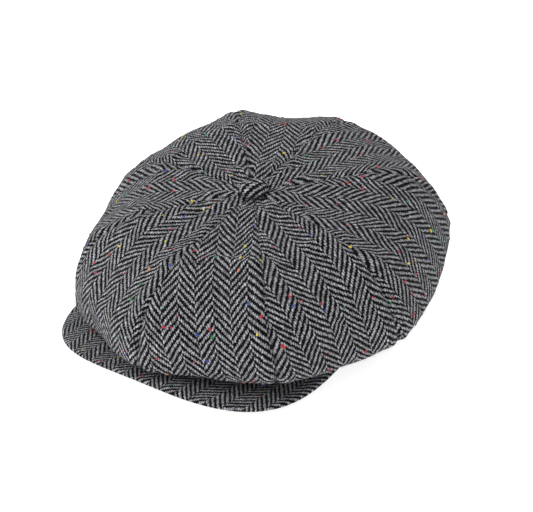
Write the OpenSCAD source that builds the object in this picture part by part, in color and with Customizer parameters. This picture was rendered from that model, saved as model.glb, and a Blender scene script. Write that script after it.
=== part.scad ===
// Newsboy cap: eight-gore cloth crown with a covered button, a band round the head opening,
// a sweatband, a gored lining and a stiffened peak.
// Frame: millimetres, +Z up, the peak points towards -Y, and the origin is the centre of the
// head opening, on the plane of the band's lower edge.
// Angles run from the centre front (0 at -Y) towards +X.

/* [Head opening] */
// Half the width of the head opening, inside the sweatband
head_half_w = 84; // [78:0.5:88]
// Half the length of the head opening, inside the sweatband
head_half_l = 100; // [94:0.5:104]
// Height of the band
band_h = 30; // [26:1:34]

/* [Crown] */
// Half the crown's width at its widest line
crown_half_w = 137; // [128:1:146]
// Half the crown's length at its widest line
crown_half_l = 138; // [130:1:146]
// Height of the crown's top, under the button
crown_top = 100; // [94:1:108]
// Height of the widest line, averaged round the cap
rim_h = 37; // [36:1:44]
// How much the widest line rises at the front and back and falls at the sides
rim_wave = 10; // [0:1:10]
// How much the widest line leans up towards +X
rim_lean = 9; // [0:1:9]
// How much lower the widest line sits at the front than on average
rim_dip = 2; // [0:1:6]
// How far the cloth hangs below the widest line, on average
droop = 26; // [20:1:28]
// How much more the cloth hangs at the back than on average
droop_back = 7; // [0:1:9]
// Bluntness of the crown's dome, higher is flatter on top
dome_power = 6; // [3:0.1:6.5]
// How far each gore is flattened between its seams, as a share of the radius
gore_flat = 0.018; // [0:0.002:0.03]
// Height of the padded ridge along each seam
seam_ridge = 0.9; // [0:0.1:1.5]
// Thickness of the wool cloth with its interlining
cloth_t = 1.6; // [1.2:0.1:2]

/* [Button] */
// Diameter of the covered button
button_d = 21; // [18:0.5:24]
// Height of the covered button
button_h = 7.5; // [6:0.5:9]
// Where the button sits to the right of the centre
button_x = 9; // [0:1:10]
// Where the button sits in front of the centre
button_front = 5; // [0:1:8]

/* [Lining] */
// Gap between the crown cloth and the lining
lining_gap = 2.2; // [1.8:0.1:4]
// Thickness of the lining
lining_t = 0.7; // [0.5:0.1:1]
// How far the lining hangs away from the crown between its seams
lining_sag = 1.6; // [0.8:0.2:2.4]

/* [Peak] */
// Half the width of the peak
peak_half_w = 108; // [98:1:110]
// How far the peak has slipped towards -X
peak_slip = 5; // [0:1:6]
// How far the peak's front edge is from the centre of the head opening
peak_reach = 143; // [141:1:150]
// Where the peak is widest, in front of the centre of the head opening
peak_wide_at = 50; // [44:1:56]
// Height of the middle of the peak's front edge
peak_h = 30; // [24:1:32]
// How much the peak's front edge turns up beyond its sides
peak_upturn = 5; // [0:1:6]
// How much higher the peak's right side sits than its left, from the middle
peak_lean = 5; // [0:1:6]
// How far the peak's sides curve down below its middle
peak_camber = 16; // [8:1:17]
// Squareness of the peak's outline: 2 is an ellipse
peak_square = 2.9; // [2.2:0.1:3.2]
// Thickness of the peak's board
board_t = 1.6; // [1.2:0.1:2]
// Thickness of the cloth over the board
peak_cloth_t = 1.2; // [1:0.1:1.6]

/* [Hidden] */

gores = 8;
gore_angle = 360 / gores;
// How far each seam has slipped round from its even place, in degrees, from the front seam on
seam_slip = [0, -4, -10, -4, -1, -3, 0, 1];

panel_u = 10;
top_rows = 11;
tuck_rows = 8;
lining_u = 7;
lining_rows = 10;
crown_start = 0.03;

sweat_t = 1.2;
stiffener_t = 1.1;
band_t = 1.6;
band_clear = 0.02;
stiffener_w = head_half_w + sweat_t;
stiffener_l = head_half_l + sweat_t;
band_in_w = stiffener_w + stiffener_t;
band_in_l = stiffener_l + stiffener_t;
band_out_w = band_in_w + band_t;
band_out_l = band_in_l + band_t;
stiffener_margin = 2.5;
crown_edge_z = band_h - cloth_t;

wool = "#4d4d4f";
satin = "#1d1d20";
twill = "#26262a";
board_colour = "#8a7a5c";
metal = "#b9bcc0";
label_colour = "#e6e2d8";

// ---- Seams ----
function seam_at(i) = gore_angle * i + (i < gores ? seam_slip[i] : seam_slip[0]);
function gore_phi(i, u) = seam_at(i) + u * (seam_at(i + 1) - seam_at(i));

// ---- Crown surface: w runs 0 to 1 from the button to the widest line, 1 to 2 under to the band ----
function rim_z(phi) = rim_h + rim_lean * sin(phi) - rim_dip * cos(phi) + rim_wave * cos(2 * phi);
function flatten(u) = 1 - gore_flat * sin(180 * u) * sin(180 * u);
function rim_x(phi, u) = crown_half_w * sin(phi) * flatten(u);
function rim_y(phi, u) = -crown_half_l * cos(phi) * flatten(u);
function drop_at(phi) = min(droop - droop_back * cos(phi), 1.45 * rim_z(phi) + 2);

function top_point(phi, u, w) =
    let (fall = 1 - pow(max(0, 1 - pow(w, dome_power)), 1 / 1.2))
    [
        button_x + w * (rim_x(phi, u) - button_x),
        -button_front + w * (rim_y(phi, u) + button_front),
        crown_top + (rim_z(phi) - crown_top) * fall
    ];
function tuck_point(phi, u, t) =
    let (turn = 1 - cos(90 * t), hang = sin(90 * t), rise = pow(t, 3))
    let (drop = drop_at(phi))
    [
        rim_x(phi, u) + (band_out_w * sin(phi) - rim_x(phi, u)) * turn,
        rim_y(phi, u) + (-band_out_l * cos(phi) - rim_y(phi, u)) * turn,
        rim_z(phi) - drop * hang + (crown_edge_z - rim_z(phi) + drop) * rise
    ];
function crown_point(phi, u, w) = w <= 1 ? top_point(phi, u, w) : tuck_point(phi, u, w - 1);

// Outward normal, from two short steps on the smooth surface
function unit(v) = v / norm(v);
function crown_normal(phi, w) =
    let (s = min(w, 1.96), low = max(s - 0.02, 0.01))
    unit(cross(
        crown_point(phi, 0, s + 0.02) - crown_point(phi, 0, low),
        crown_point(phi + 1, 0, s) - crown_point(phi - 1, 0, s)
    ));
// The cloth is thicker along each seam, where the seam allowances lie under it
function ridge(u, w) = seam_ridge * pow(abs(2 * u - 1), 6) * min(1, 4 * w) * min(1, 3 * (2 - w));
function crown_offset(phi, u, w, depth) =
    crown_point(phi, u, w) + crown_normal(phi, w) * (ridge(u, w) - depth);

function crown_rows() = [
    for (i = [0 : top_rows]) crown_start + (1 - crown_start) * pow(i / top_rows, 0.7),
    for (i = [1 : tuck_rows]) 1 + i / tuck_rows
];
function panel_grid(i, depth) = [
    for (w = crown_rows()) [
        for (j = [0 : panel_u])
        let (u = j / panel_u)
        w == 2 ? crown_point(gore_phi(i, u), u, 2) + [0, 0, depth]
               : crown_offset(gore_phi(i, u), u, w, depth)
    ]
];

// ---- Lining: follows the crown inside and comes down to the band's top edge ----
lining_depth = cloth_t + lining_gap;
lining_start = 0.055;
lining_leave = 0.96;
lining_share = 0.62;
function lining_hem(phi) = [band_in_w * sin(phi), -band_in_l * cos(phi), band_h + 0.05];
// The way from the lining's inner face to its outer one: out to the crown, then down where it turns in
turn_out = 0.41;
turn_down = 0.91;
turn_width = 0.06;
function clamp(x) = min(1, max(0, x));
function lining_across(phi, w, v) =
    let (share = (clamp(10 * v / lining_share - 9) + clamp((v - lining_share) / turn_width)) / 2)
    let (turned = [turn_out * sin(phi), -turn_out * cos(phi), -turn_down])
    unit((1 - share) * crown_normal(phi, w) + share * turned);
function lining_point(i, u, v, under) =
    let (phi = gore_phi(i, u))
    let (w = min(lining_leave, lining_start + (lining_leave - lining_start) * v / lining_share))
    let (sag = lining_sag * w * (0.5 + sin(180 * u)))
    let (side = crown_offset(phi, 0.5, w, lining_depth + sag))
    let (down = max(0, (v - lining_share) / (1 - lining_share)))
    side + (lining_hem(phi) - side) * down - under * lining_across(phi, w, v);
function lining_grid(i, under) = [
    for (k = [0 : lining_rows]) [
        for (j = [0 : lining_u]) lining_point(i, j / lining_u, k / lining_rows, under)
    ]
];

// ---- Closed slab between two grids of points; the first grid is the outer face ----
module slab(outer, inner) {
    rows = len(outer);
    cols = len(outer[0]);
    count = rows * cols;
    function at(r, c) = r * cols + c;
    points = concat(
        [for (row = outer) for (p = row) p],
        [for (row = inner) for (p = row) p]
    );
    outer_faces = [
        for (r = [0 : rows - 2]) for (c = [0 : cols - 2]) each [
            [at(r, c), at(r + 1, c + 1), at(r + 1, c)],
            [at(r, c), at(r, c + 1), at(r + 1, c + 1)]
        ]
    ];
    inner_faces = [for (f = outer_faces) [count + f[0], count + f[2], count + f[1]]];
    loop = concat(
        [for (c = [0 : cols - 1]) at(0, c)],
        [for (r = [1 : rows - 1]) at(r, cols - 1)],
        [for (c = [cols - 2 : -1 : 0]) at(rows - 1, c)],
        [for (r = [rows - 2 : -1 : 1]) at(r, 0)]
    );
    n = len(loop);
    side_faces = [
        for (k = [0 : n - 1])
        let (a = loop[k], b = loop[(k + 1) % n])
        each [[a, count + a, count + b], [a, count + b, b]]
    ];
    polyhedron(points, concat(side_faces, outer_faces, inner_faces), convexity = 8);
}

module crown_panel(i) {
    color(wool) slab(panel_grid(i, 0), panel_grid(i, cloth_t));
}

module lining_panel(i) {
    color(satin) slab(lining_grid(i, 0), lining_grid(i, lining_t));
}

// ---- Button: a domed metal shell in a cloth cover, with a back plate and its shank ----
button_z = crown_top + 0.4;
shell_t = 0.8;
cover_t = 1.2;
module at_button() {
    translate([button_x, -button_front, button_z]) children();
}
module dome(r, h, flat) {
    rotate_extrude($fn = 48)
    intersection() {
        union() {
            translate([0, flat]) square([r, 0.01]);
            polygon(concat(
                [[0, 0], [r - flat, 0], [r, flat]],
                [for (a = [10 : 10 : 90]) [r * cos(a), flat + (h - flat) * sin(a)]]
            ));
        }
        square([r + 1, h + 1]);
    }
}
module button_cover() {
    color(wool) at_button() difference() {
        dome(button_d / 2, button_h, 1.6);
        translate([0, 0, -0.01]) cylinder(r = button_d / 2 - cover_t - 0.4, h = 1.62, $fn = 48);
        translate([0, 0, 1.6]) dome(button_d / 2 - cover_t, button_h - cover_t - 1.6, 0.4);
    }
}
module button_shell() {
    color(metal) at_button() translate([0, 0, 1.6]) difference() {
        dome(button_d / 2 - cover_t - 0.02, button_h - cover_t - 1.62, 0.4);
        translate([0, 0, -0.01]) dome(button_d / 2 - cover_t - shell_t, button_h - cover_t - 1.6 - shell_t, 0.4);
    }
}
module button_back() {
    back_r = button_d / 2 - cover_t - 0.5;
    color(metal) at_button() {
        translate([0, 0, 0.3]) cylinder(r = back_r, h = 1.2, $fn = 48);
        translate([0, 0, -3.2]) cylinder(r = 1.5, h = 3.6, $fn = 24);
    }
}

// ---- Bands round the head opening ----
function ring_angles() = [for (i = [0 : gores - 1]) for (j = [0 : panel_u - 1]) gore_phi(i, j / panel_u)];
function oval(half_w, half_l) = [for (phi = ring_angles()) [half_w * sin(phi), -half_l * cos(phi)]];
module wall(in_w, in_l, out_w, out_l, low, high) {
    translate([0, 0, low]) linear_extrude(high - low) difference() {
        polygon(oval(out_w, out_l));
        polygon(oval(in_w, in_l));
    }
}
module outer_band() {
    color(wool) wall(band_in_w + band_clear, band_in_l + band_clear, band_out_w, band_out_l, 0, band_h);
}
module band_stiffener() {
    color(board_colour)
    wall(stiffener_w + band_clear, stiffener_l + band_clear, band_in_w, band_in_l, stiffener_margin,
        band_h - stiffener_margin);
}
module sweatband() {
    color(twill) wall(head_half_w, head_half_l, stiffener_w, stiffener_l, 0, band_h);
}

// ---- Peak: board between two cloth covers, sewn to the outer band ----
peak_root_angle = 72;
peak_tip_angle = 112;
peak_root_h = 5;
peak_root_arch = 15;
peak_u = 30;
peak_rows = [0, 0.25, 0.5, 0.75, 0.94, 1];
board_rows = [0.02, 0.25, 0.5, 0.75, 0.93];
peak_tuck = 18;
function signed_pow(v, e) = sign(v) * pow(abs(v), e);
function peak_edge(psi) =
    let (e = 2 / peak_square)
    let (x = peak_half_w * signed_pow(sin(psi), e), forward = signed_pow(cos(psi), e))
    let (y = -peak_wide_at - (forward > 0 ? peak_reach - peak_wide_at : peak_tuck) * forward)
    let (side = x / peak_half_w, low = peak_h - peak_upturn)
    [x - peak_slip, y, low + peak_upturn * max(forward, 0) - peak_camber * side * side + peak_lean * side];
function peak_root(psi) =
    let (phi = psi * peak_root_angle / peak_tip_angle)
    let (arch = peak_root_arch * pow(cos(phi), 2))
    [(band_out_w + 0.02) * sin(phi), -(band_out_l + 0.02) * cos(phi), peak_root_h + arch];
function peak_point(psi, s, lift) =
    let (a = peak_root(psi), b = peak_edge(psi))
    a + (b - a) * s + [0, 0, lift + 1.5 * sin(180 * s)];
function peak_grid(rows, lift, edge_lift) = [
    for (s = rows) [
        for (j = [0 : peak_u])
        peak_point(-peak_tip_angle + 2 * peak_tip_angle * j / peak_u, s, s == 1 ? edge_lift : lift)
    ]
];
module peak_layer(rows, low, high, edge_low, edge_high) {
    slab(peak_grid(rows, high, edge_high), peak_grid(rows, low, edge_low));
}
half_board = board_t / 2;
module peak_top_cover() {
    color(wool) peak_layer(peak_rows, half_board, half_board + peak_cloth_t, 0.01, peak_cloth_t);
}
module peak_board() {
    color(board_colour) peak_layer(board_rows, -half_board + 0.01, half_board - 0.01, 0, 0);
}
module peak_under_cover() {
    color(wool) peak_layer(peak_rows, -half_board - peak_cloth_t, -half_board, -peak_cloth_t, -0.01);
}

// ---- Labels, both blank ----
label_w = 44;
label_l = 26;
label_t = 0.5;
label_from_button = 8;
module maker_label() {
    lining_under = crown_top - lining_depth - lining_t;
    color(label_colour) translate([button_x - label_w / 2, label_from_button, lining_under - label_t - lining_sag / 2])
    cube([label_w, label_l, label_t]);
}
tab_w = 16;
tab_h = 14;
module size_tab() {
    color(label_colour) translate([-tab_w / 2, head_half_l - label_t - 0.15, 8]) cube([tab_w, label_t, tab_h]);
}

crown_panel(0);  // crown_panel_1
crown_panel(1);  // crown_panel_2
crown_panel(2);  // crown_panel_3
crown_panel(3);  // crown_panel_4
crown_panel(4);  // crown_panel_5
crown_panel(5);  // crown_panel_6
crown_panel(6);  // crown_panel_7
crown_panel(7);  // crown_panel_8
button_cover();
button_shell();
button_back();
lining_panel(0);  // lining_panel_1
lining_panel(1);  // lining_panel_2
lining_panel(2);  // lining_panel_3
lining_panel(3);  // lining_panel_4
lining_panel(4);  // lining_panel_5
lining_panel(5);  // lining_panel_6
lining_panel(6);  // lining_panel_7
lining_panel(7);  // lining_panel_8
outer_band();
band_stiffener();
sweatband();
peak_top_cover();
peak_board();
peak_under_cover();
maker_label();
size_tab();
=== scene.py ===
# %% [markdown]
# # A newsboy cap, made in Blender
# The cap is eight tweed gores sewn edge to edge, a covered button, a band and a stiffened peak.
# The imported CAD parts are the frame: they say where each piece is and how big it is. Each cloth part
# is then made again here as real cloth, with seams, a weave and fuzz, in the same place.

# %% Load the frame
import math

import bpy
import numpy as np
from mathutils import Matrix, Vector


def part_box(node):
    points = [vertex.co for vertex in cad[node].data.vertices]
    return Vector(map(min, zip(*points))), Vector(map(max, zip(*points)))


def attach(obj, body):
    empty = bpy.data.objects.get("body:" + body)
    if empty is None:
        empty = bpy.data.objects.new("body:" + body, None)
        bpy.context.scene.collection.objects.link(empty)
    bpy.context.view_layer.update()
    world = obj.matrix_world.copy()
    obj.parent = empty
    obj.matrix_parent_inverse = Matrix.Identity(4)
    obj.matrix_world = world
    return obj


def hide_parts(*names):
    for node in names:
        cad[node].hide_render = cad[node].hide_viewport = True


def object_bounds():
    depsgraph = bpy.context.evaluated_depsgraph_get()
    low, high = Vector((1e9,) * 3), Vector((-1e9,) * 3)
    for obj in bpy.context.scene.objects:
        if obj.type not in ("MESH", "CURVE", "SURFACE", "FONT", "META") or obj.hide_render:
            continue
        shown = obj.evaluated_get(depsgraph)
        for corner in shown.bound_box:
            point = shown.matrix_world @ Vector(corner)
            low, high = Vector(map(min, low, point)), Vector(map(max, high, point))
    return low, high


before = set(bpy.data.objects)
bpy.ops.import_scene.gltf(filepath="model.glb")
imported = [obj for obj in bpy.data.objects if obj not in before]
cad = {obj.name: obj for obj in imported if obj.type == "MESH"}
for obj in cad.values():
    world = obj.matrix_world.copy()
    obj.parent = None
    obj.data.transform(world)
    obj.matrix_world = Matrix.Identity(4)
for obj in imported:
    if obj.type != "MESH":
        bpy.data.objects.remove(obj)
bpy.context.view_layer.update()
MM = 0.001


def put(name, data):
    """A new object in the scene."""
    made = bpy.data.objects.new(name, data)
    bpy.context.scene.collection.objects.link(made)
    return made


# %% [markdown]
# ## The camera
# A camera is placed by the way it looks: an angle round the cap, a height angle, and a small roll.
# It stands 1.1 m away with a long lens, as for a product picture, so the cap isn't distorted.

# %% Place the camera
LOOK_ROUND, LOOK_DOWN, ROLL = math.radians(41), math.radians(38.67), math.radians(-8.55)
TARGET, DISTANCE = Vector((0, 0, 0.050)), 1.1
back = Vector((math.sin(LOOK_ROUND) * math.cos(LOOK_DOWN), -math.cos(LOOK_ROUND) * math.cos(LOOK_DOWN),
               math.sin(LOOK_DOWN)))
level = Vector((math.cos(LOOK_ROUND), math.sin(LOOK_ROUND), 0))
upright = back.cross(level)
right = level * math.cos(ROLL) + upright * math.sin(ROLL)
up = upright * math.cos(ROLL) - level * math.sin(ROLL)
camera_data = bpy.data.cameras.new("camera")
camera_data.sensor_width, camera_data.lens = 36, 102.75
camera_data.shift_x, camera_data.shift_y = 0.0190, -0.0320
camera = put("camera", camera_data)
turned = Matrix((right, up, back)).transposed().to_4x4()
camera.matrix_world = Matrix.Translation(TARGET + back * DISTANCE) @ turned
bpy.context.scene.camera = camera
print("camera stands at", [round(x, 3) for x in camera.location])

# %% [markdown]
# ## The crown's shape
# A gore is one of the eight cut pieces of the crown. Its place comes from a rule, the same one as the
# CAD's: an angle round the cap (0 at the centre front, growing towards +X), a share u across the gore
# and a share w down it, where 0 is the button, 1 the widest line and 2 the hem on the band. numpy works
# out a whole grid of points at once, which is much faster than a loop over points.

# %% The crown's rule, in millimetres
GORES = 8
SLIP = [0, -4, -10, -4, -1, -3, 0, 1]
BUTTON = (9, -5)
TOP, RIM, RIM_LEAN, RIM_DIP, RIM_WAVE = 100, 37, 9, 2, 10
HALF_W, HALF_L = 137, 138
DOME_POWER, DOME_ROUND, GORE_FLAT = 6, 1.2, 0.018
DROOP, DROOP_BACK = 26, 7
BAND_W, BAND_L, BAND_H, BAND_T = 87.9, 103.9, 30, 1.6
CLOTH = 1.6


def seam_at(i):
    return 360 // GORES * i + SLIP[i % GORES]


def gore_angle(i, u):
    return seam_at(i) + u * (seam_at(i + 1) - seam_at(i))


def stack(*parts):
    return np.stack(np.broadcast_arrays(*parts), axis=-1)


def crown_point(phi, u, w):
    s, c = np.sin(np.radians(phi)), np.cos(np.radians(phi))
    rim_z = RIM + RIM_LEAN * s - RIM_DIP * c + RIM_WAVE * np.cos(np.radians(2 * phi))
    flat = 1 - GORE_FLAT * np.sin(np.pi * u) ** 2
    rim_x, rim_y = HALF_W * s * flat, -HALF_L * c * flat
    a, t = np.clip(w, 0, 1), np.clip(w - 1, 0, 1)
    fall = 1 - np.clip(1 - a**DOME_POWER, 0, 1) ** (1 / DOME_ROUND)
    top = stack(BUTTON[0] + a * (rim_x - BUTTON[0]), BUTTON[1] + a * (rim_y - BUTTON[1]),
                TOP + (rim_z - TOP) * fall)
    turn, hang = 1 - np.cos(np.pi / 2 * t), np.sin(np.pi / 2 * t)
    drop = np.minimum(DROOP - DROOP_BACK * c, 1.45 * rim_z + 2)
    tuck = stack(rim_x + (BAND_W * s - rim_x) * turn, rim_y + (-BAND_L * c - rim_y) * turn,
                 rim_z - drop * hang + (BAND_H - CLOTH - rim_z + drop) * t**3)
    return np.where((w <= 1)[..., None], top, tuck)


def unit(v):
    return v / np.maximum(np.linalg.norm(v, axis=-1, keepdims=True), 1e-9)


def crown_outward(phi, w):
    s = np.minimum(w, 1.96)
    low, zero = np.maximum(s - 0.02, 0.01), np.zeros_like(s)
    return unit(np.cross(crown_point(phi, zero, s + 0.02) - crown_point(phi, zero, low),
                         crown_point(phi + 1, zero, s) - crown_point(phi - 1, zero, s)))


print("seams at", [seam_at(i) for i in range(GORES)], "degrees")

# %% [markdown]
# ## Three helpers for every cloth piece
# *ripple* is a smooth, repeatable wave pattern that stands for the small unevenness of handled cloth.
# *shell* turns two grids of points, the cloth's face and its back, into one closed mesh, and keeps each
# point's place on the flat cloth, in millimetres, as a UV map. The weave is drawn from that map, so it
# follows the cut piece as real threads do.

# %% Ripples and shells
def ripple(points, wave, seed, waves=9):
    rng = np.random.default_rng(seed)
    total = 0
    for _ in range(waves):
        way = rng.normal(size=3)
        way *= 2 * math.pi / (wave * rng.uniform(0.7, 1.5) * np.linalg.norm(way))
        total = total + np.sin(points @ way + rng.uniform(0, 2 * math.pi))
    return total / math.sqrt(waves)


def lengths(points, axis):
    """How far along the cloth each point of a grid lies from the grid's first one."""
    steps = np.linalg.norm(np.diff(points, axis=axis), axis=-1)
    start = np.zeros_like(np.take(steps, [0], axis=axis))
    return np.cumsum(np.concatenate([start, steps], axis=axis), axis=axis)


def mesh_object(name, points, faces, face_uvs=None, material=None, crease=50):
    mesh = bpy.data.meshes.new(name)
    mesh.from_pydata([tuple(p) for p in np.asarray(points) * MM], [], faces)
    if face_uvs is not None:
        weave = mesh.uv_layers.new(name="weave")
        weave.data.foreach_set("uv", np.asarray(face_uvs, dtype=np.float32).ravel())
    mesh.shade_smooth()
    mesh.set_sharp_from_angle(angle=math.radians(crease))
    mesh.validate()
    if material:
        mesh.materials.append(material)
    return put(name, mesh)


def shell(name, outer, inner, cloth_uv, material, dome=False):
    """outer and inner are grids of points, rows by columns. A dome's last column joins its first, and
    its first row closes to one point."""
    rows, cols = outer.shape[:2]
    count = rows * cols
    points = list(outer.reshape(-1, 3)) + list(inner.reshape(-1, 3))
    uv = np.concatenate([cloth_uv.reshape(-1, 2)] * 2)
    span = cols if dome else cols - 1
    faces = []
    for r in range(rows - 1):
        for c in range(span):
            a, b = r * cols + c, r * cols + (c + 1) % cols
            faces += [(a, b, b + cols, a + cols), (count + a, count + a + cols, count + b + cols, count + b)]
    for r in [rows - 1] if dome else [0, rows - 1]:
        for c in range(span):
            a, b = r * cols + c, r * cols + (c + 1) % cols
            faces.append((a, b, count + b, count + a) if r else (b, a, count + a, count + b))
    if dome:
        for base in (0, count):
            middle = len(points)
            points.append(np.mean(points[base : base + cols], axis=0))
            uv = np.concatenate([uv, [uv[base : base + cols].mean(axis=0)]])
            for c in range(cols):
                a, b = base + c, base + (c + 1) % cols
                faces.append((middle, a, b) if base else (middle, b, a))
    else:
        for r in range(rows - 1):
            a, b = r * cols, (r + 1) * cols
            faces.append((a, b, count + b, count + a))
            a, b = a + cols - 1, b + cols - 1
            faces.append((b, a, count + a, count + b))
    corners = uv[[v for face in faces for v in face]]
    return faced_outward(mesh_object(name, points, faces, corners, material))


def faced_outward(piece):
    """Turns a closed mesh's faces outward: its volume, summed over its triangles, must not be negative."""
    mesh = piece.data
    mesh.calc_loop_triangles()
    co = np.array([v.co for v in mesh.vertices])
    a, b, c = co[np.array([t.vertices for t in mesh.loop_triangles])].transpose(1, 0, 2)
    if np.einsum("ij,ij->i", a, np.cross(b, c)).sum() < 0:
        mesh.flip_normals()
    return piece


# %% [markdown]
# ## Colour and shader helpers
# Colours are written as sRGB hex, as in any paint program. Blender's shaders work in linear light, so
# one function turns them. One other function adds a shader node with its settings and its links.

# %% Colours and nodes
def linear(hex_colour):
    parts = [int(hex_colour[i : i + 2], 16) / 255 for i in (1, 3, 5)]
    return tuple(p / 12.92 if p <= 0.04045 else ((p + 0.055) / 1.055) ** 2.4 for p in parts) + (1.0,)


def add(tree, kind, inputs=None, **settings):
    """Adds a node. An input's value is a constant, a socket, or a node whose first output is meant."""
    made = tree.nodes.new(kind)
    for key, value in settings.items():
        setattr(made, key, value)
    for key, value in (inputs or {}).items():
        socket = made.inputs[key]
        if isinstance(value, bpy.types.Node):
            tree.links.new(value.outputs[0], socket)
        elif isinstance(value, bpy.types.NodeSocket):
            tree.links.new(value, socket)
        else:
            socket.default_value = value
    return made


def material(name):
    """A new material, its tree, and the object's own coordinates, which its textures follow."""
    made = bpy.data.materials.new(name)
    made.use_nodes = True
    made.node_tree.nodes.clear()
    return made, made.node_tree, add(made.node_tree, "ShaderNodeTexCoord").outputs["Object"]


def finish_material(tree, shader):
    add(tree, "ShaderNodeOutputMaterial", {"Surface": shader})


# %% [markdown]
# ## The tweed
# The cap is a woollen herringbone tweed: thick woollen yarns, light ones down the cloth and near-black
# ones across it, in a 2/2 twill whose diagonal turns back every ten threads. Woollen yarn is hairy and
# dull, so the cloth has no gloss, a soft sheen and a beaded look. Each light float's colour fades to the
# dark weft at its ends, where the weft crosses it, and at its sides, which is painted shade on the rounded
# yarn. The thread pitches are 1.17 mm across and 1.37 mm along. Each thread is found by dividing the flat
# cloth's millimetres by the pitch.

# %% Herringbone tweed
END_PITCH, PICK_PITCH, COLUMN_ENDS = 1.17, 1.37, 10
DRIFT, FRAY, BEAD_POWER, WEFT_HEIGHT = 4.0, 2.1, 0.42, 0.45


def tweed(name, light_low, light_high, dark, turn=0.0, pull=(1.0, 1.0)):
    made, t, place = material(name)
    flat = add(t, "ShaderNodeUVMap", uv_map="weave")
    turned = add(t, "ShaderNodeMapping", {
        "Vector": flat, "Rotation": (0, 0, math.radians(turn)), "Scale": (*pull, 1)}, vector_type="POINT")
    # The threads drift by up to 2 mm over some centimetres, and their edges fray by up to 1 mm.
    cloth = turned
    for scale, detail, most in ((28, 1, DRIFT), (420, 2, FRAY)):
        noise = add(t, "ShaderNodeTexNoise", {"Vector": place, "Scale": scale, "Detail": detail})
        shift = add(t, "ShaderNodeVectorMath", {
            0: noise.outputs["Color"], 1: (0.5, 0.5, 0.5)}, operation="SUBTRACT")
        shift = add(t, "ShaderNodeVectorMath", {0: shift, 1: (most, most, 0)}, operation="MULTIPLY")
        cloth = add(t, "ShaderNodeVectorMath", {0: cloth, 1: shift}, operation="ADD")
    mm = add(t, "ShaderNodeSeparateXYZ", {0: cloth})
    ends = add(t, "ShaderNodeMath", {0: mm.outputs["X"], 1: END_PITCH}, operation="DIVIDE")
    picks = add(t, "ShaderNodeMath", {0: mm.outputs["Y"], 1: PICK_PITCH}, operation="DIVIDE")
    end_no = add(t, "ShaderNodeMath", {0: ends}, operation="FLOOR")
    across = add(t, "ShaderNodeMath", {0: ends}, operation="FRACT")
    middle = add(t, "ShaderNodeMath", {0: end_no, 1: 0.5}, operation="ADD")
    step = add(t, "ShaderNodeMath", {0: middle, 1: COLUMN_ENDS}, operation="PINGPONG")
    column = add(t, "ShaderNodeMath", {0: middle, 1: 2 * COLUMN_ENDS}, operation="FLOORED_MODULO")
    odd = add(t, "ShaderNodeMath", {0: column, 1: COLUMN_ENDS}, operation="GREATER_THAN")
    jump = add(t, "ShaderNodeMath", {0: odd, 1: 2.0}, operation="MULTIPLY")
    phase = add(t, "ShaderNodeMath", {0: picks, 1: step}, operation="ADD")
    phase = add(t, "ShaderNodeMath", {0: phase, 1: jump}, operation="ADD")
    float_at = add(t, "ShaderNodeMath", {0: phase, 1: 4.0}, operation="FLOORED_MODULO")
    warp_up = add(t, "ShaderNodeMath", {0: float_at, 1: 2.0}, operation="LESS_THAN")
    along = add(t, "ShaderNodeMath", {0: float_at, 1: math.pi / 2}, operation="MULTIPLY")
    along = add(t, "ShaderNodeMath", {0: along}, operation="SINE")
    round_end = add(t, "ShaderNodeMath", {0: across, 1: math.pi}, operation="MULTIPLY")
    round_end = add(t, "ShaderNodeMath", {0: round_end}, operation="SINE")
    bead = add(t, "ShaderNodeMath", {0: along, 1: round_end}, operation="MULTIPLY", use_clamp=True)
    bead = add(t, "ShaderNodeMath", {0: bead, 1: BEAD_POWER}, operation="POWER")
    bead = add(t, "ShaderNodeMath", {0: bead, 1: warp_up}, operation="MULTIPLY")
    pick_round = add(t, "ShaderNodeMath", {0: picks, 1: math.pi}, operation="MULTIPLY")
    for operation in ("SINE", "ABSOLUTE"):
        pick_round = add(t, "ShaderNodeMath", {0: pick_round}, operation=operation)
    weft = add(t, "ShaderNodeMath", {0: pick_round, 1: WEFT_HEIGHT}, operation="MULTIPLY")
    height = add(t, "ShaderNodeMath", {0: bead, 1: weft}, operation="MAXIMUM")
    # Each yarn is spun from fibres of several greys, so it changes slowly along its length.
    along_yarn = add(t, "ShaderNodeVectorMath", {0: cloth, 1: (0.75, 0.10, 0)}, operation="MULTIPLY")
    yarn = add(t, "ShaderNodeTexNoise", {"Vector": along_yarn, "Scale": 1.0, "Detail": 2})
    fibre = add(t, "ShaderNodeTexNoise", {"Vector": place, "Scale": 1100, "Detail": 3})
    yarn_mix = add(t, "ShaderNodeMapRange", {0: yarn, 1: 0.3, 2: 0.7})
    light = add(t, "ShaderNodeMix", {
        0: yarn_mix, 6: linear(light_low), 7: linear(light_high)}, data_type="RGBA")
    # The light float fades to the dark weft colour towards its ends, where the weft crosses over it, and towards
    # its sides, where the darkening is painted shade on the rounded yarn.
    weave = add(t, "ShaderNodeMix", {0: bead, 6: linear(dark), 7: light.outputs[2]}, data_type="RGBA")
    hair = add(t, "ShaderNodeMapRange", {0: fibre, 1: 0.34, 2: 0.66, 3: 0.45, 4: 1.6})
    tone = add(t, "ShaderNodeMix", {
        0: 1.0, 6: weave.outputs[2], 7: hair}, data_type="RGBA", blend_type="MULTIPLY")
    rough = add(t, "ShaderNodeMath", {0: fibre, 1: 0.30}, operation="MULTIPLY")
    relief = add(t, "ShaderNodeMath", {0: height, 1: rough}, operation="ADD")
    bump = add(t, "ShaderNodeBump", {"Height": relief, "Distance": 0.00045, "Strength": 0.85})
    wool = add(t, "ShaderNodeBsdfPrincipled", {
        "Base Color": tone.outputs[2], "Roughness": 0.92, "IOR": 1.45, "Specular IOR Level": 0.1,
        "Sheen Weight": 0.05, "Sheen Roughness": 0.5, "Sheen Tint": linear("#a8a8ac"), "Normal": bump})
    finish_material(t, wool)
    return made


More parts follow.
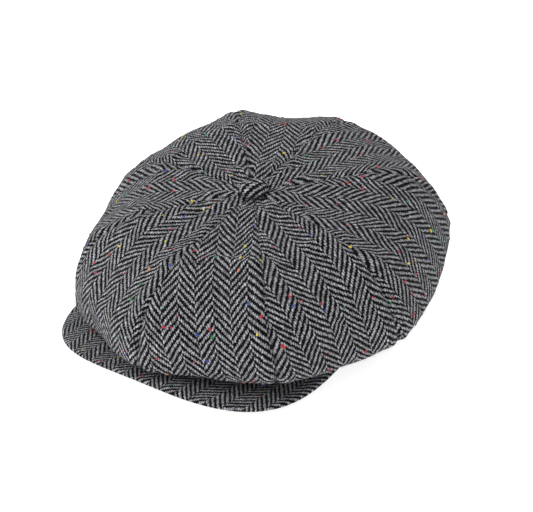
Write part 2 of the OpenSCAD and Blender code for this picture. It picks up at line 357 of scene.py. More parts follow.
YARNS = ("#6a6a6e", "#bdbdc2", "#060607")
crown_tweed = tweed("herringbone tweed", *YARNS)
button_tweed = tweed("herringbone tweed on the button", *YARNS, turn=58)
print("one column of the herringbone is", END_PITCH * COLUMN_ENDS, "mm wide")

# %% [markdown]
# ## The cloth settles
# A crown cut from flat cloth never keeps the drawing's perfect curve. Blender's Cloth is run on a light
# grid of the whole crown, held at the button, along the seams' stiff allowances and at the hem. It is a
# little too big for its place, as eased cloth is, so it buckles softly between the seams. How far each
# point moved is kept, capped, and added to the fine meshes later. Before that, each gore gets its own
# fit at the widest line: its seams stand out or sink in, and its middle is pulled flat.

# %% The fit of each gore
# How far each seam stands out as a corner, and how far each gore's middle is pulled flat, in mm.
SEAM_CORNER = [1.2, -1.5, 0.0, 2.0, -2.5, 6.5, -4.0, -1.5]
PULLED_FLAT = [1.9, 1.9, 1.9, 2.6, 3.0, -3.4, 7.0, 1.9]


def corners(gore, u, w):
    """How far the fit moves the crown outward, in mm. It acts most just above the widest line."""
    near_rim = np.exp(-(((w - 0.92) / 0.30) ** 2))
    held_out = SEAM_CORNER[gore] * (1 - u) ** 4 + SEAM_CORNER[(gore + 1) % GORES] * u**4
    return ((held_out - PULLED_FLAT[gore] * np.cos(np.pi * (u - 0.5)) ** 2) * near_rim)[..., None]


# %% Simulate the crown
SIM_COLS, SIM_FRAMES, SIM_CAP = 12, 22, 2.6
CROWN_START = 0.03
over_rows = CROWN_START + (1 - CROWN_START) * np.linspace(0, 1, 26) ** 0.75
sim_w = np.concatenate([over_rows, 1 + np.linspace(0, 1, 13)[1:]])
sim_u = np.arange(SIM_COLS) / SIM_COLS


def crown_grid(gore, u, w):
    uu, ww = np.meshgrid(u, w)
    phi = gore_angle(gore, uu)
    return phi, uu, ww, crown_point(phi, uu, ww)


def settle_crown():
    points = np.concatenate([crown_grid(i, sim_u, sim_w)[3] for i in range(GORES)], axis=1)
    rows, cols = points.shape[:2]
    faces = [(r * cols + c, r * cols + (c + 1) % cols, (r + 1) * cols + (c + 1) % cols, (r + 1) * cols + c)
             for r in range(rows - 1) for c in range(cols)]
    cloth = mesh_object("settling_crown", points.reshape(-1, 3), faces)
    held = cloth.vertex_groups.new(name="held")
    for r in range(rows):
        for c in range(cols):
            on_seam = c % SIM_COLS == 0
            hold = 1.0 if sim_w[r] < 0.10 or sim_w[r] > 1.85 else 0.75 if on_seam else 0.0
            if hold:
                held.add([r * cols + c], hold, "REPLACE")
    sim = cloth.modifiers.new("cloth", "CLOTH")
    s = sim.settings
    s.vertex_group_mass = "held"
    s.quality, s.mass, s.time_scale = 6, 0.25, 0.6
    s.tension_stiffness = s.compression_stiffness = 25
    s.shear_stiffness, s.bending_stiffness = 12, 3.0
    s.tension_damping = s.compression_damping = s.shear_damping = 10
    s.bending_damping, s.air_damping = 1.0, 2.0
    s.shrink_min = s.shrink_max = -0.018
    s.effector_weights.gravity = 0.35
    sim.collision_settings.use_collision = False
    sim.point_cache.frame_end = SIM_FRAMES
    scene = bpy.context.scene
    for frame_no in range(1, SIM_FRAMES + 1):
        scene.frame_set(frame_no)
    settled = cloth.evaluated_get(bpy.context.evaluated_depsgraph_get()).data
    after = np.array([v.co for v in settled.vertices]).reshape(rows, cols, 3) / MM
    move = after - points
    size = np.linalg.norm(move, axis=-1, keepdims=True)
    move = move * np.minimum(1, SIM_CAP / np.maximum(size, 1e-6))
    scene.frame_set(1)
    bpy.data.objects.remove(cloth)
    print(f"cloth moved {size.mean():.2f} mm on average and {size.max():.2f} at most")
    return move


settled_move = settle_crown()


def settled_at(gore, u, w):
    """The settled movement at any u and w of a gore, by straight steps between the light grid's points."""
    column = (gore + u) * SIM_COLS
    c0 = np.floor(column).astype(int)
    fc = (column - c0)[..., None]
    row = np.interp(w, sim_w, np.arange(len(sim_w)))
    r0 = np.minimum(np.floor(row).astype(int), len(sim_w) - 2)
    fr = (row - r0)[..., None]
    m = settled_move
    a, b = c0 % m.shape[1], (c0 + 1) % m.shape[1]
    upper = m[r0, a] * (1 - fc) + m[r0, b] * fc
    lower = m[r0 + 1, a] * (1 - fc) + m[r0 + 1, b] * fc
    return upper * (1 - fr) + lower * fr


# %% [markdown]
# ## The eight gores
# Each gore is a closed piece 1.6 mm thick. Along a seam the cloth is padded by its own turned-in
# allowance, which makes a soft ridge, and right at the stitch line the two gores dive into a fine
# groove. Near the button the cloth is gathered, so it puckers in small folds that fade in 20 mm.

# %% Make the gores
EDGE_MM = [0, 0.35, 0.7, 1.1, 1.6, 2.3, 3.2, 4.4, 6.0, 8.0, 10.5]
WIDEST = 107.0


def gore_columns(middle=26):
    near = np.array(EDGE_MM) / WIDEST
    inner = np.linspace(near[-1], 1 - near[-1], middle)
    return np.concatenate([near[:-1], inner, 1 - near[:-1][::-1]])


def crown_rows(top=72, tuck=34):
    r = np.linspace(0, 1, top)
    over = CROWN_START + (1 - CROWN_START) * (0.5 * r + 0.5 * (1 - (1 - r) ** 1.8))
    return np.concatenate([over, 1 + np.linspace(0, 1, tuck)[1:]])


# No gore is cut exactly along the cloth's threads. These are the degrees that each one is off.
GRAIN_TURN = [12, 7, 4, -2, 3, -2, 4, 7]


def crown_faces(gore):
    """The face and back grids of a gore in millimetres, and its place on the flat cloth."""
    phi, u, w, smooth = crown_grid(gore, gore_columns(), crown_rows())
    outward = crown_outward(phi, w)
    width = lengths(smooth, 1)
    across = width - width[:, -1:] / 2
    seam_gap = np.minimum(width, width[:, -1:] - width)
    fade = np.clip(5 * w - 0.5, 0, 1) * np.clip(1.45 - 3 * (w - 1.05), 0.2, 1)
    ridge = 1.0 * np.exp(-(((seam_gap - 6.5) / 4.5) ** 2)) * fade
    valley = -1.2 * np.exp(-((seam_gap / 2.6) ** 2)) * fade
    groove = -0.9 * np.exp(-((seam_gap / 0.85) ** 2)) * np.clip((2 - w) * 8, 0, 1)
    along_seam = lengths(smooth, 0)
    pull = 0.35 * np.sin(2 * np.pi * along_seam / 11 + 2.2 * ripple(smooth, 60, 5))
    pull = pull * np.exp(-((seam_gap / 7) ** 2)) * fade
    soft = 0.75 * ripple(smooth, 62, 11) + 0.30 * ripple(smooth, 24, 12)
    soft = soft * np.clip(2.4 * w - 0.1, 0, 1) * np.clip(1.4 - 3 * (w - 1.1), 0, 1)
    dx, dy = smooth[..., 0] - BUTTON[0], smooth[..., 1] - BUTTON[1]
    far, way = np.hypot(dx, dy), np.arctan2(dy, dx)
    gathers = np.sin(13 * way + 1.6 * np.sin(3 * way + 0.5)) * 0.5 * np.exp(-(((far - 12) / 7) ** 2))
    sunk = 1.3 * np.exp(-(((far - 15) / 5.5) ** 2)) * (0.7 + 0.3 * np.sin(2 * way + 1.0))
    sunk = sunk - 0.4 * np.exp(-((far / 9) ** 2))
    lift = (ridge + valley + groove + pull + soft + gathers + sunk)[..., None]
    # Under the widest line the cloth hangs taut, so the settling fades there.
    settle = 1 - 0.7 * np.clip((w - 0.95) / 0.3, 0, 1)
    moved = smooth + outward * corners(gore, u, w) + settled_at(gore, u, w) * settle[..., None]
    outer = moved + outward * lift
    inner = moved - outward * CLOTH + outward * np.maximum(lift - 0.4, -0.6) * 0.5
    # At the hem the cloth's edge stands on the band, so its back is straight above its face.
    hem = np.clip((w - 1.875) / 0.125, 0, 1)[..., None]
    outer = outer * (1 - hem) + smooth * hem
    inner = inner * (1 - hem) + (smooth + np.array([0, 0, CLOTH])) * hem
    middle = lengths(smooth, 0)[:, smooth.shape[1] // 2][:, None]
    grain = math.radians(GRAIN_TURN[gore])
    half_way = middle[len(middle) * 2 // 3, 0]
    x, y = across, middle - half_way
    flat = stack(x * math.cos(grain) - y * math.sin(grain), x * math.sin(grain) + y * math.cos(grain))
    return outer, inner, flat


gores, gore_grids = [], []
for i in range(GORES):
    outer, inner, flat = crown_faces(i)
    gores.append(shell(f"crown_gore_{i + 1}", outer, inner, flat, crown_tweed))
    gore_grids.append(outer)
print("gore 1 has", len(gores[0].data.polygons), "faces")

# %% [markdown]
# ## The button
# A covered button is a metal dome with a disc of the same tweed gathered round it and tied beneath. The
# cloth lies smooth on top, with its own straight weave, and folds where it is gathered under the rim.

# %% Make the button's cover
BUTTON_R, BUTTON_H, BUTTON_Z = 10.5, 7.5, TOP + 0.4
TURNED_UNDER, BUTTON_CLOTH = 0.78, 1.15


def button_cover():
    way = np.linspace(0, 2 * np.pi, 120, endpoint=False)[None, :]
    t = np.linspace(0.03, 1, 34)[:, None]
    over = np.clip(t / TURNED_UNDER, 0, 1)
    under = np.clip((t - TURNED_UNDER) / (1 - TURNED_UNDER), 0, 1)
    radius = BUTTON_R * np.sin(over * np.pi / 2) - 2.3 * under**1.4
    height = 2.0 + (BUTTON_H - 2.0) * np.cos(over * np.pi / 2) - 1.9 * under
    folds = np.sin(17 * way + 1.3 * np.sin(4 * way + 1)) * 0.30 * np.clip((t - 0.45) / 0.4, 0, 1) ** 1.5
    dent = 0.22 * np.sin(2 * way + 0.7) * np.sin(np.pi * t)
    radius = radius + folds + dent * 0.5
    inner_r = np.minimum(radius - BUTTON_CLOTH * np.sin(over * np.pi / 2), BUTTON_R - 1.2)
    inner_z = np.maximum(height - BUTTON_CLOTH * np.cos(over * np.pi / 2), 0.1)
    outer, inner = (stack(BUTTON[0] + r * np.cos(way), BUTTON[1] + r * np.sin(way), BUTTON_Z + z)
                    for r, z in ((radius, height + dent), (inner_r, inner_z + dent * 0.5)))
    spread = BUTTON_R * t * 1.25
    flat = stack(spread * np.cos(way), spread * np.sin(way))
    return outer, inner, flat


outer, inner, flat = button_cover()
button = shell("button_cloth_cover", outer, inner, flat, button_tweed, dome=True)
print("button cover's size in mm:", [round(x / MM, 1) for x in button.dimensions])

# %% [markdown]
# ## The peak
# The peak is a stiff board between two cloth covers that meet in a seam along the rolled edge. Its
# outline is a blunt ellipse and its root lies along the band. The covers are lofted from the root to
# the edge. Equal steps along the edge keep the mesh even where the outline turns quickly.

# %% Make the peak's covers
PEAK_TIP, PEAK_ROOT = 112, 72
PEAK_W, PEAK_SLIP, PEAK_WIDE_AT, PEAK_REACH, PEAK_TUCK = 108, 5, 50, 143, 18
PEAK_LOW, PEAK_UPTURN, PEAK_CAMBER, PEAK_LEAN, PEAK_CROWN = 25, 5, 16, 5, 1.5
BLUNT = 2 / 2.9
HALF_BOARD, PEAK_CLOTH, EDGE_ROLL = 0.8, 1.2, 3.6


def blunt(v):
    return np.sign(v) * np.abs(v) ** BLUNT


def peak_edge(psi):
    x, forward = PEAK_W * blunt(np.sin(np.radians(psi))), blunt(np.cos(np.radians(psi)))
    y = -PEAK_WIDE_AT - np.where(forward > 0, PEAK_REACH - PEAK_WIDE_AT, PEAK_TUCK) * forward
    side = x / PEAK_W
    z = PEAK_LOW + PEAK_UPTURN * np.maximum(forward, 0) - PEAK_CAMBER * side**2 + PEAK_LEAN * side
    return stack(x - PEAK_SLIP, y, z)


def peak_root(psi):
    phi = np.radians(psi * PEAK_ROOT / PEAK_TIP)
    return stack((BAND_W + 0.1) * np.sin(phi), -(BAND_L + 0.1) * np.cos(phi), 5 + 15 * np.cos(phi) ** 2)


def even_psi(count):
    psi = np.linspace(-PEAK_TIP, PEAK_TIP, 4001)
    along = lengths(peak_edge(psi)[None], 1)[0]
    return np.interp(np.linspace(0, along[-1], count), along, psi)


def peak_cover(side, columns=150, rows=40):
    """side is 1 for the cover on top and -1 for the one under the board."""
    psi = even_psi(columns)[None, :]
    s = (1 - (1 - np.linspace(0, 1, rows)) ** 1.7)[:, None]
    root, edge = peak_root(psi), peak_edge(psi)
    span = np.linalg.norm(edge - root, axis=-1)

    def layer(s, thick):
        """Points from the root to the edge, and how far one layer of the cover stands off them."""
        at = root + (edge - root) * s[..., None]
        at[..., 2] += PEAK_CROWN * np.sin(np.pi * s)
        to_edge = np.clip((EDGE_ROLL - (1 - s) * span) / EDGE_ROLL, 0, 1)
        return at, side * thick * np.sqrt(1 - to_edge**2)

    base, face_lift = layer(s, HALF_BOARD + PEAK_CLOTH)
    back, back_lift = layer(np.minimum(s, 1 - 0.9 / np.maximum(span, 8)), HALF_BOARD)
    soft = 0.35 * ripple(base, 70, 31) + 0.12 * ripple(base, 22, 32)
    soft = soft * np.sin(np.pi * np.clip(s, 0, 1)) ** 0.5
    outer = base + stack(0, 0, face_lift + soft)
    inner = back + stack(0, 0, back_lift + soft * 0.5)
    return outer, inner, stack(outer[..., 0] + PEAK_SLIP, -outer[..., 1])


peak_tweed = tweed("herringbone tweed on the peak", *YARNS, turn=-6, pull=(1.1, 1.3))
peak_parts = {}
for name, side in (("peak_cover_top", 1), ("peak_cover_under", -1)):
    outer, inner, flat = peak_cover(side)
    peak_parts[name] = (shell(name, outer, inner, flat, peak_tweed), outer)
    print(name, "spans", [round(x / MM) for x in peak_parts[name][0].dimensions], "mm")

# %% [markdown]
# ## Bands round the head
# Three strips go round the opening, and two of them are made here. The tweed band is outside and its
# threads stand upright. The sweatband of black twill is folded over at its edges and lies against the head.
# Each of the two is one profile taken round an oval, and their ends meet in a closed seam at the back.

# %% Rings and their profiles
SWEAT_W, SWEAT_L, SWEAT_T = 84, 100, 1.1


def bar_profile(depth, low, high, bulge=0.0, step=1.6):
    """A rounded bar's outline as (distance out, height), from the foot of its inner face up, over the
    top and down its outer face."""
    corner = depth / 2
    rise = np.arange(low + corner, high - corner + step / 2, step)
    share = (rise - rise[0]) / (rise[-1] - rise[0])
    arc = np.radians(np.arange(15, 180, 15))
    inner = stack(-bulge * np.sin(np.pi * share), rise)
    over = stack(corner - corner * np.cos(arc), rise[-1] + corner * np.sin(arc))
    outside = stack(depth + 0 * rise, rise[::-1])
    below = stack(corner + corner * np.cos(arc), rise[0] - corner * np.sin(arc))
    return np.concatenate([inner, over, outside, below])


def oval_ring(name, half_w, half_l, profile, finish, wave=0.15, seam=0.5, turns=176):
    phi = np.linspace(-180, 180, turns, endpoint=False)
    near_seam = np.array([0.35, 0.8, 1.4])
    phi = np.sort(np.concatenate([phi, -180 + near_seam, 180 - near_seam]))[None, :]
    out, z = profile[:, :1], profile[:, 1:]
    gap = np.radians(180 - np.abs(phi)) * half_l
    dip = seam * np.exp(-((gap / 0.9) ** 2))
    depth = profile[:, 0].max()
    out = out + dip * np.where(out < depth / 2, 0.6, -1.0)
    points = stack((half_w + out) * np.sin(np.radians(phi)), -(half_l + out) * np.cos(np.radians(phi)), z)
    points = points + unit(points * [1, 1, 0]) * (wave * ripple(points, 45, 51))[..., None]
    along = lengths(points[:1], 1)[0]
    up_cloth = np.concatenate([[0], np.cumsum(np.linalg.norm(np.diff(profile, axis=0), axis=1))])
    rows, cols = points.shape[:2]
    faces, corners = [], []
    around = along[-1] + np.linalg.norm(points[0, 0] - points[0, -1])
    climb = up_cloth[-1] + np.linalg.norm(profile[0] - profile[-1])
    for r in range(rows):
        for c in range(cols):
            r2, c2 = (r + 1) % rows, (c + 1) % cols
            faces.append((r * cols + c, r * cols + c2, r2 * cols + c2, r2 * cols + c))
            x0, x1 = along[c], along[c2] if c2 else around
            y0, y1 = up_cloth[r], up_cloth[r2] if r2 else climb
            corners += [(x0, y0), (x1, y0), (x1, y1), (x0, y1)]
    return faced_outward(mesh_object(name, points.reshape(-1, 3), faces, corners, finish))


# %% [markdown]
# ## Twill, satin and label cloth
# The sweatband is a black cotton twill: fine diagonal ribs, dull with a faint sheen. The lining is a
# black satin, whose long floats lie side by side and reflect light in one stretched highlight. The
# labels are a plain ribbon with fine ribs across. Their ribs are drawn at 0.8 to 1 mm so they show.

# %% Ribbed cloths
def ribbed(name, colour, low, pitch, turn, roughness, sheen, depth, anisotropy=0.0, specular=0.3):
    made, t, place = material(name)
    flat = add(t, "ShaderNodeUVMap", uv_map="weave")
    turned = add(t, "ShaderNodeVectorRotate", {
        "Vector": flat, "Angle": math.radians(turn)}, rotation_type="Z_AXIS")
    fray = add(t, "ShaderNodeTexNoise", {"Vector": place, "Scale": 260, "Detail": 2})
    mm = add(t, "ShaderNodeSeparateXYZ", {0: turned})
    ribs = add(t, "ShaderNodeMath", {0: fray, 1: 0.5, 2: mm.outputs["X"]}, operation="MULTIPLY_ADD")
    ribs = add(t, "ShaderNodeMath", {0: ribs, 1: math.pi / pitch}, operation="MULTIPLY")
    for operation in ("SINE", "ABSOLUTE"):
        ribs = add(t, "ShaderNodeMath", {0: ribs}, operation=operation)
    cross = add(t, "ShaderNodeMath", {0: mm.outputs["Y"], 1: math.pi / (pitch * 0.8)}, operation="MULTIPLY")
    cross = add(t, "ShaderNodeMath", {0: cross}, operation="SINE")
    cross = add(t, "ShaderNodeMath", {0: cross, 1: 0.12}, operation="MULTIPLY")
    relief = add(t, "ShaderNodeMath", {0: ribs, 1: cross}, operation="ADD")
    relief = add(t, "ShaderNodeMath", {0: fray, 1: 0.25, 2: relief}, operation="MULTIPLY_ADD")
    # The colour follows the relief: the valleys between the ribs take the darker low colour, a painted shade, and
    # the fray noise adds random tone.
    tone = add(t, "ShaderNodeMapRange", {0: relief, 1: 0.1, 2: 1.2})
    shade = add(t, "ShaderNodeMix", {0: tone, 6: linear(low), 7: linear(colour)}, data_type="RGBA")
    bump = add(t, "ShaderNodeBump", {"Height": relief, "Distance": depth * MM, "Strength": 0.7})
    cloth = add(t, "ShaderNodeBsdfPrincipled", {
        "Base Color": shade.outputs[2], "Roughness": roughness, "Specular IOR Level": specular,
        "Anisotropic": anisotropy, "Sheen Weight": sheen, "Sheen Roughness": 0.5, "Normal": bump})
    finish_material(t, cloth)
    return made


twill = ribbed("black cotton twill", "#232326", "#101012", 0.9, 40, 0.8, 0.2, 0.25)
satin = ribbed("black lining satin", "#1c1c20", "#111114", 0.8, 0, 0.34, 0.05, 0.05, 0.5, 0.5)
ribbon = ribbed("woven label ribbon", "#ded9cd", "#b9b3a4", 0.8, 90, 0.6, 0.1, 0.12)
thread = ribbed("black sewing thread", "#2c2c30", "#0e0e10", 0.35, 45, 0.6, 0.1, 0.06)
pale_thread = ribbed("pale sewing thread", "#cfc8b8", "#8f897c", 0.35, 45, 0.6, 0.1, 0.06)

# %% Make the bands
band_profile = bar_profile(BAND_T, 0, BAND_H)
band = oval_ring("tweed_band", BAND_W - BAND_T, BAND_L - BAND_T, band_profile, crown_tweed)
sweat_profile = bar_profile(SWEAT_T, 0, BAND_H, bulge=0.1)
sweat = oval_ring("twill_sweatband", SWEAT_W, SWEAT_L, sweat_profile, twill, wave=0.03)
print("bands made:", [len(p.data.polygons) for p in (band, sweat)], "faces")

# %% [markdown]
# ## The lining
# Eight satin gores hang inside the crown, sewn together and caught at the band. Satin is thin and a
# little loose, so it wrinkles more than the tweed.

# %% Make the lining
LINING_DEPTH, LINING_T, LINING_SAG = 3.8, 0.7, 1.6
LINING_START, LINING_LEAVE, LINING_SHARE = 0.055, 0.96, 0.62


def lining_layer(gore, under, columns=27, rows=52):
    u, v = np.meshgrid(np.linspace(0, 1, columns), np.linspace(0, 1, rows))
    phi = gore_angle(gore, u)
    w = LINING_START + (LINING_LEAVE - LINING_START) * np.minimum(v / LINING_SHARE, 1)
    sag = LINING_SAG * w * (0.5 + np.sin(np.pi * u))
    outward = crown_outward(phi, w)
    side = crown_point(phi, 0.5 + 0 * u, w) - outward * (LINING_DEPTH + sag)[..., None]
    side = side + outward * np.minimum(corners(gore, u, w), 0)
    s, c = np.sin(np.radians(phi)), np.cos(np.radians(phi))
    hem = stack((BAND_W - BAND_T) * s, -(BAND_L - BAND_T) * c, BAND_H + 0.05)
    down = np.clip((v - LINING_SHARE) / (1 - LINING_SHARE), 0, 1)[..., None]
    share = (np.clip(10 * v / LINING_SHARE - 9, 0, 1) + np.clip((v - LINING_SHARE) / 0.06, 0, 1)) / 2
    share = share[..., None]
    across = unit((1 - share) * outward + share * stack(0.41 * s, -0.41 * c, -0.91 + 0 * s))
    points = side + (hem - side) * down
    loose = np.sin(np.pi * np.clip(v, 0, 1)) ** 0.7 * np.sin(np.pi * u) ** 0.5
    wrinkle = (0.55 * ripple(points, 38, 71) + 0.30 * ripple(points, 15, 72)) * loose
    return points - across * (under + np.maximum(wrinkle, -0.9))[..., None]


lining, lining_grids = [], []
for i in range(GORES):
    outer, inner = lining_layer(i, 0), lining_layer(i, LINING_T)
    width = lengths(outer, 1)
    flat = stack(width - width[:, -1:] / 2, lengths(outer, 0))
    lining.append(shell(f"lining_gore_{i + 1}", outer, inner, flat, satin))
    lining_grids.append(inner)
print("lining gores:", len(lining))

# %% [markdown]
# ## Blank labels
# A ribbon label is sewn inside the crown, and a small tab on the sweatband. Both are left blank. Each is
# a thin pad with soft edges, made from two grids pinched together at the border.

# %% Make the labels
def label(name, node, normal_axis, finish):
    low, high = (np.array(v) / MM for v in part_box(node))
    wide, long = [a for a in range(3) if a != normal_axis]
    a, b = np.meshgrid(np.linspace(0, 1, 36), np.linspace(0, 1, 22))
    rim = np.minimum.reduce([a, 1 - a, b, 1 - b])
    half = (high - low)[normal_axis] / 2 * np.sqrt(np.clip(rim / 0.05, 0.04, 1))
    middle = (high + low)[normal_axis] / 2
    sheets = []
    for sign in (1, -1):
        grid = np.zeros(a.shape + (3,))
        grid[..., wide] = low[wide] + (high - low)[wide] * a
        grid[..., long] = low[long] + (high - low)[long] * b
        grid[..., normal_axis] = middle + sign * half
        grid[..., normal_axis] += 0.12 * ripple(grid, 20, 91)
        sheets.append(grid)
    flat = stack((high - low)[wide] * a, (high - low)[long] * b)
    return shell(name, sheets[0], sheets[1], flat, finish)


maker = label("blank_label", "maker_label", 2, ribbon)
tab = label("blank_size_tab", "size_tab", 1, ribbon)
print("labels:", [round(x / MM, 1) for x in maker.dimensions])

# %% [markdown]
# ## Flecks and fuzz
# The tweed is scattered with neps: tiny knots of bright dyed wool. Loose fibre ends stand up from it
# as fuzz, which softens every edge. Both repeat thousands of times over a surface, which is work for
# Geometry Nodes. The points are spread on a bare carrier surface, so nothing grows on the cloth's back.

# %% A surface to scatter on
def carrier(name, grids):
    points, faces, start = [], [], 0
    for grid in grids:
        rows, cols = grid.shape[:2]
        points.append(grid.reshape(-1, 3))
        firsts = [start + r * cols + c for r in range(rows - 1) for c in range(cols - 1)]
        faces += [(v, v + 1, v + cols + 1, v + cols) for v in firsts]
        start += rows * cols
    made = mesh_object(name, np.concatenate(points), faces)
    first = made.data.polygons[len(made.data.polygons) // 2]
    if first.normal.dot(first.center - Vector((0, 0, 0.03))) < 0:
        made.data.flip_normals()
    return made


def nodes_result(name, source, tree, values):
    """Runs a Geometry Nodes tree on a carrier, keeps what it makes as a plain mesh, and clears up."""
    modifier = source.modifiers.new(name, "NODES")
    modifier.node_group = tree
    inputs = [s for s in tree.interface.items_tree if s.item_type == "SOCKET" and s.in_out == "INPUT"]
    sockets = {s.name: s.identifier for s in inputs}
    for key, value in values.items():
        modifier[sockets[key]] = value
    result = bpy.data.meshes.new_from_object(source.evaluated_get(bpy.context.evaluated_depsgraph_get()))
    source.modifiers.remove(modifier)
    result.name = name
    print(name, "has", len(result.polygons), "faces")
    return put(name, result)


def new_tree(name, **inputs):
    tree = bpy.data.node_groups.new(name, "GeometryNodeTree")
    tree.interface.new_socket("Geometry", in_out="INPUT", socket_type="NodeSocketGeometry")
    for title, kind in inputs.items():
        tree.interface.new_socket(title, in_out="INPUT", socket_type="NodeSocket" + kind)
    tree.interface.new_socket("Geometry", in_out="OUTPUT", socket_type="NodeSocketGeometry")
    return tree, add(tree, "NodeGroupInput").outputs


def finish_tree(t, copies, finish):
    real = add(t, "GeometryNodeRealizeInstances", {0: copies})
    painted = add(t, "GeometryNodeSetMaterial", {"Geometry": real, "Material": finish})
    add(t, "NodeGroupOutput", {0: painted})
    return t


# %% Scatter trees
def scatter_tree(name, make_shape, store=None):
    """Spreads a shape over a surface, each with its own turn and size, and sets its material."""
    t, given = new_tree(name, Density="Float", Size="Float", Seed="Int", Material="Material")
    spread = add(t, "GeometryNodeDistributePointsOnFaces", {
        "Mesh": given["Geometry"], "Density": given["Density"], "Seed": given["Seed"]})
    spin = add(t, "FunctionNodeRandomValue", {2: 0.0, 3: 6.283, "Seed": given["Seed"]}, data_type="FLOAT")
    spin = add(t, "ShaderNodeCombineXYZ", {2: spin.outputs[1]})
    turn = add(t, "FunctionNodeEulerToRotation", {0: spin})
    turn = add(t, "FunctionNodeRotateRotation", {
        0: spread.outputs["Rotation"], 1: turn}, rotation_space="LOCAL")
    scale = add(t, "FunctionNodeRandomValue", {2: 0.55, 3: 1.35, "Seed": 7}, data_type="FLOAT")
    scale = add(t, "ShaderNodeMath", {0: scale.outputs[1], 1: given["Size"]}, operation="MULTIPLY")
    copies = add(t, "GeometryNodeInstanceOnPoints", {
        "Points": spread, "Instance": make_shape(t), "Rotation": turn, "Scale": scale})
    if store:
        dye = add(t, "FunctionNodeRandomValue", {2: 0.0, 3: 1.0, "Seed": 3}, data_type="FLOAT")
        copies = add(t, "GeometryNodeStoreNamedAttribute", {
            "Geometry": copies, "Name": store, "Value": dye.outputs[1]}, data_type="FLOAT", domain="INSTANCE")
    return finish_tree(t, copies, given["Material"])


def nep_shape(t):
    ball = add(t, "GeometryNodeMeshIcoSphere", {"Radius": 1.0, "Subdivisions": 2})
    return add(t, "GeometryNodeTransform", {"Geometry": ball, "Scale": (1.0, 0.6, 0.42)})


def fibre_shape(t):
    bend = add(t, "GeometryNodeCurveQuadraticBezier", {
        "Resolution": 2, "Start": (0, 0, -0.1), "Middle": (0.25, 0.05, 0.55), "End": (0.95, 0.2, 0.5)})
    section = add(t, "GeometryNodeCurvePrimitiveCircle", {"Resolution": 3, "Radius": 0.016})
    return add(t, "GeometryNodeCurveToMesh", {
        "Curve": bend, "Profile Curve": section.outputs[0], "Fill Caps": True})


nep_tree = scatter_tree("scattered neps", nep_shape, "dye")
fibre_tree = scatter_tree("scattered fibres", fibre_shape)

# %% [markdown]
# ## Materials of the neps and fibres
# Every nep carries a random number, and one material turns it to one of the dyer's colours: most are
# red, then blue, green, yellow and a warm peach. The fibres are undyed grey wool.

# %% Nep and fibre materials
def nep_material():
    made, t, place = material("dyed wool neps")
    dye = add(t, "ShaderNodeAttribute", attribute_name="dye")
    ramp = add(t, "ShaderNodeValToRGB", {0: dye.outputs["Fac"]})
    ramp.color_ramp.interpolation = "CONSTANT"
    colours = [(0.0, "#b01a2e"), (0.46, "#22459a"), (0.64, "#1f7f4c"), (0.80, "#d9c63a"), (0.93, "#d98a68")]
    while len(ramp.color_ramp.elements) < len(colours):
        ramp.color_ramp.elements.new(0.5)
    for stop, (at, colour) in zip(ramp.color_ramp.elements, colours):
        stop.position = at
    for stop, (at, colour) in zip(ramp.color_ramp.elements, colours):
        stop.color = linear(colour)
    fluff = add(t, "ShaderNodeTexNoise", {"Vector": place, "Scale": 2500, "Detail": 2})
    shade = add(t, "ShaderNodeMapRange", {0: fluff, 1: 0.3, 2: 0.7, 3: 0.6, 4: 1.15})
    tone = add(t, "ShaderNodeMix", {0: 1.0, 6: ramp, 7: shade}, data_type="RGBA", blend_type="MULTIPLY")
    bump = add(t, "ShaderNodeBump", {"Height": fluff, "Distance": 0.0003, "Strength": 0.8})
    wool = add(t, "ShaderNodeBsdfPrincipled", {
        "Base Color": tone.outputs[2], "Roughness": 0.9, "Sheen Weight": 0.3, "Normal": bump})
    finish_material(t, wool)
    return made


def fibre_material():
    made, t, place = material("loose grey wool fibres")
    tone = add(t, "ShaderNodeTexNoise", {"Vector": place, "Scale": 600, "Detail": 1})
    shade = add(t, "ShaderNodeMix", {0: tone, 6: linear("#131314"), 7: linear("#808083")}, data_type="RGBA")
    wool = add(t, "ShaderNodeBsdfPrincipled", {
        "Base Color": shade.outputs[2], "Roughness": 0.95, "Sheen Weight": 0.2})
    finish_material(t, wool)
    return made


neps, fibres = nep_material(), fibre_material()

# %% Scatter over the crown and the peak
crown_carrier = carrier("crown_carrier", gore_grids)
peak_carrier = carrier("peak_carrier", [peak_parts["peak_cover_top"][1]])
scattered = {}
for name, source, tree, density, size, seed, finish in (
        ("crown_neps", crown_carrier, nep_tree, 2500.0, 0.00118, 21, neps),
        ("crown_fuzz", crown_carrier, fibre_tree, 70000.0, 0.0024, 22, fibres),
        ("peak_neps", peak_carrier, nep_tree, 1200.0, 0.0010, 23, neps),
        ("peak_fuzz", peak_carrier, fibre_tree, 70000.0, 0.0022, 24, fibres)):
    scattered[name] = nodes_result(name, source, tree, {
        "Density": density, "Size": size, "Seed": seed, "Material": finish})
for helper in (crown_carrier, peak_carrier):
    bpy.data.objects.remove(helper)

# %% [markdown]
# ## Stitches
# A machine stitch is a short bar of thread that dives in at each end. A row of them follows a curve: the
# curve is cut into equal steps, and one small bead is turned along it at every step.

